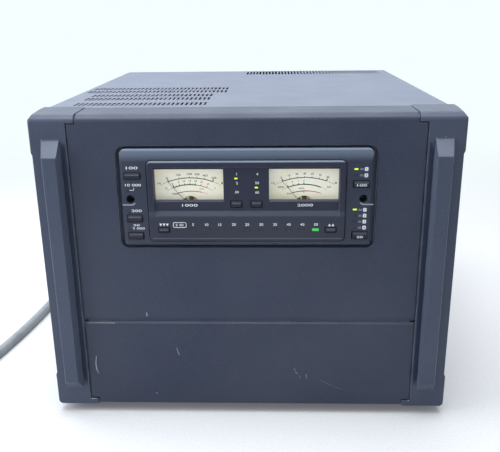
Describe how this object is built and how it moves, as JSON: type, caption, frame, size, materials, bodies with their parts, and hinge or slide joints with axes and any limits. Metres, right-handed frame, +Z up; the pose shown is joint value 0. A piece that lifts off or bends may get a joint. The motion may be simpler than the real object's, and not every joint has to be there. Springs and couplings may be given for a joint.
{
  "type": "hf linear amplifier",
  "caption": "Desktop radio power amplifier: slotted cabinet with two handle rails, and a detachable head with two meters and push buttons.",
  "frame": {"origin": "on the floor, under the middle of the cabinet with its handles and rear connectors", "axes": "+X to the right seen from the front, +Y to the rear, +Z up"},
  "size_m": [0.5948, 0.5764, 0.2758],
  "materials": {
    "front_moulding": "satin paint",
    "rail_paint": "satin paint, worn at the edges",
    "cover_paint": "satin paint",
    "tray_steel": "plated",
    "foot_rubber": "matt",
    "case_screw_steel": "blackened",
    "module_steel": "plated",
    "sink_aluminium": "bare extrusion",
    "board_resin": "solder mask",
    "transistor_black": "moulded",
    "coil_copper": "enamelled copper",
    "fan_plastic": "moulded",
    "tuner_aluminium": "bare",
    "motor_steel": "plated",
    "pinion_brass": "turned",
    "socket_nickel": "nickel plate",
    "control_socket_black": "moulded",
    "ground_brass": "bare",
    "breaker_black": "moulded",
    "breaker_white": "moulded",
    "cord_grey": "smooth sheath",
    "plug_grey": "moulded",
    "head_plastic": "satin paint",
    "bezel_plastic": "satin paint",
    "window_clear": "polished",
    "housing_black": "moulded",
    "dial_cream": "printed, lit from behind",
    "needle_black": "thin paint",
    "lens_lit": "lit yellow-green",
    "lens_lit_green": "lit green",
    "lens_dark": "unlit",
    "button_plastic": "satin paint",
    "lock_screw_black": "blackened"
  },
  "bodies": {
    "chassis": {"front_panel": "front_moulding", "lower_front_cover": "front_moulding", "handle_rail_left": "rail_paint", "handle_rail_right": "rail_paint", "top_cover": "cover_paint", "side_cover_left": "cover_paint", "side_cover_right": "cover_paint", "chassis_tray": "tray_steel", "rear_panel": "cover_paint", "rubber_feet": "foot_rubber", "case_screws": "case_screw_steel", "power_supply": "module_steel", "heat_sink": "sink_aluminium", "pa_boards": "board_resin", "pa_transistors": "transistor_black", "filter_board": "board_resin", "filter_coils": "coil_copper", "fan_frames": "fan_plastic", "tuner_capacitor_frames": "tuner_aluminium", "tuner_motors": "motor_steel", "logic_board": "board_resin", "coax_sockets": "socket_nickel", "control_sockets": "control_socket_black", "ground_stud": "ground_brass", "breaker_body": "breaker_black", "strain_relief": "cord_grey", "mains_cord": "cord_grey", "mains_cord_coil": "cord_grey", "mains_plug": "plug_grey"},
    "control_head": {"controller_face": "head_plastic", "controller_case": "head_plastic", "meter_bezel": "bezel_plastic", "meter_windows": "window_clear", "meter_housings": "housing_black", "meter_dials": "dial_cream", "controller_board": "board_resin", "lit_lenses": "lens_lit", "lit_band_lens": "lens_lit_green", "dark_lenses": "lens_dark"},
    "fan_impeller_left": {"fan_impeller_left": "fan_plastic"},
    "fan_impeller_right": {"fan_impeller_right": "fan_plastic"},
    "ground_wing_nut": {"ground_wing_nut": "ground_brass"},
    "tuner_rotor_front": {"tuner_rotor_front": "tuner_aluminium"},
    "tuner_rotor_rear": {"tuner_rotor_rear": "tuner_aluminium"},
    "motor_pinion_front": {"motor_pinion_front": "pinion_brass"},
    "motor_pinion_rear": {"motor_pinion_rear": "pinion_brass"},
    "breaker_button": {"breaker_button": "breaker_white"},
    "power_button": {"power_button": "button_plastic"},
    "tuner_button": {"tuner_button": "button_plastic"},
    "amplifier_button": {"amplifier_button": "button_plastic"},
    "input_button": {"input_button": "button_plastic"},
    "antenna_button": {"antenna_button": "button_plastic"},
    "meter_1_button": {"meter_1_button": "button_plastic"},
    "meter_2_button": {"meter_2_button": "button_plastic"},
    "band_down_button": {"band_down_button": "button_plastic"},
    "band_up_button": {"band_up_button": "button_plastic"},
    "needle_1": {"needle_1": "needle_black"},
    "needle_2": {"needle_2": "needle_black"},
    "lock_screw_left": {"lock_screw_left": "lock_screw_black"},
    "lock_screw_right": {"lock_screw_right": "lock_screw_black"}
  },
  "joints": [
    {"name": "control_head_slide", "type": "slide", "parent": "chassis", "child": "control_head", "axis": [0, -1, 0], "range_m": [0, 0.06]},
    {"name": "fan_impeller_left_spin", "type": "hinge", "parent": "chassis", "child": "fan_impeller_left", "pos_m": [0.033, 0.1635, 0.0535], "axis": [0, 1, 0], "continuous": true},
    {"name": "fan_impeller_right_spin", "type": "hinge", "parent": "chassis", "child": "fan_impeller_right", "pos_m": [0.113, 0.1635, 0.0535], "axis": [0, 1, 0], "continuous": true},
    {"name": "ground_wing_nut_turn", "type": "hinge", "parent": "chassis", "child": "ground_wing_nut", "pos_m": [-0.08, 0.1885, 0.048], "axis": [0, 1, 0], "continuous": true},
    {"name": "tuner_rotor_front_turn", "type": "hinge", "parent": "chassis", "child": "tuner_rotor_front", "pos_m": [-0.0889, -0.1209, 0.128], "axis": [0, 1, 0], "range_deg": [0, 180]},
    {"name": "motor_pinion_front_spin", "type": "hinge", "parent": "chassis", "child": "motor_pinion_front", "pos_m": [-0.0889, -0.1209, 0.16115], "axis": [0, 1, 0], "range_deg": [-810, 0]},
    {"name": "tuner_rotor_rear_turn", "type": "hinge", "parent": "chassis", "child": "tuner_rotor_rear", "pos_m": [-0.0889, -0.0289, 0.128], "axis": [0, 1, 0], "range_deg": [0, 180]},
    {"name": "motor_pinion_rear_spin", "type": "hinge", "parent": "chassis", "child": "motor_pinion_rear", "pos_m": [-0.0889, -0.0289, 0.16115], "axis": [0, 1, 0], "range_deg": [-810, 0]},
    {"name": "breaker_button_slide", "type": "slide", "parent": "chassis", "child": "breaker_button", "axis": [0, 1, 0], "range_m": [0, 0.005]},
    {"name": "power_button_press", "type": "slide", "parent": "control_head", "child": "power_button", "axis": [0, 1, 0], "range_m": [0, 0.0015], "stiffness_N_per_m": 400, "springref_m": -0.001},
    {"name": "tuner_button_press", "type": "slide", "parent": "control_head", "child": "tuner_button", "axis": [0, 1, 0], "range_m": [0, 0.0015], "stiffness_N_per_m": 400, "springref_m": -0.001},
    {"name": "amplifier_button_press", "type": "slide", "parent": "control_head", "child": "amplifier_button", "axis": [0, 1, 0], "range_m": [0, 0.0015], "stiffness_N_per_m": 400, "springref_m": -0.001},
    {"name": "input_button_press", "type": "slide", "parent": "control_head", "child": "input_button", "axis": [0, 1, 0], "range_m": [0, 0.0015], "stiffness_N_per_m": 400, "springref_m": -0.001},
    {"name": "antenna_button_press", "type": "slide", "parent": "control_head", "child": "antenna_button", "axis": [0, 1, 0], "range_m": [0, 0.0015], "stiffness_N_per_m": 400, "springref_m": -0.001},
    {"name": "meter_1_button_press", "type": "slide", "parent": "control_head", "child": "meter_1_button", "axis": [0, 1, 0], "range_m": [0, 0.0015], "stiffness_N_per_m": 400, "springref_m": -0.001},
    {"name": "meter_2_button_press", "type": "slide", "parent": "control_head", "child": "meter_2_button", "axis": [0, 1, 0], "range_m": [0, 0.0015], "stiffness_N_per_m": 400, "springref_m": -0.001},
    {"name": "band_down_button_press", "type": "slide", "parent": "control_head", "child": "band_down_button", "axis": [0, 1, 0], "range_m": [0, 0.0015], "stiffness_N_per_m": 400, "springref_m": -0.001},
    {"name": "band_up_button_press", "type": "slide", "parent": "control_head", "child": "band_up_button", "axis": [0, 1, 0], "range_m": [0, 0.0015], "stiffness_N_per_m": 400, "springref_m": -0.001},
    {"name": "needle_1_swing", "type": "hinge", "parent": "control_head", "child": "needle_1", "pos_m": [-0.0474, -0.1933, 0.19825], "axis": [0, 1, 0], "range_deg": [0, 81], "stiffness_Nm_per_rad": 0.0003, "springref_deg": -28.65},
    {"name": "needle_2_swing", "type": "hinge", "parent": "control_head", "child": "needle_2", "pos_m": [0.0474, -0.1933, 0.19825], "axis": [0, 1, 0], "range_deg": [0, 81], "stiffness_Nm_per_rad": 0.0003, "springref_deg": -28.65},
    {"name": "lock_screw_left_turn", "type": "hinge", "parent": "control_head", "child": "lock_screw_left", "pos_m": [-0.0959, -0.1855, 0.2057], "axis": [0, 1, 0], "continuous": true},
    {"name": "lock_screw_right_turn", "type": "hinge", "parent": "control_head", "child": "lock_screw_right", "pos_m": [0.0959, -0.1855, 0.2057], "axis": [0, 1, 0], "continuous": true}
  ],
  "couplings": [
    {"joint": "motor_pinion_front_spin", "follows": "tuner_rotor_front_turn", "ratio": -4.5},
    {"joint": "motor_pinion_rear_spin", "follows": "tuner_rotor_rear_turn", "ratio": -4.5}
  ]
}
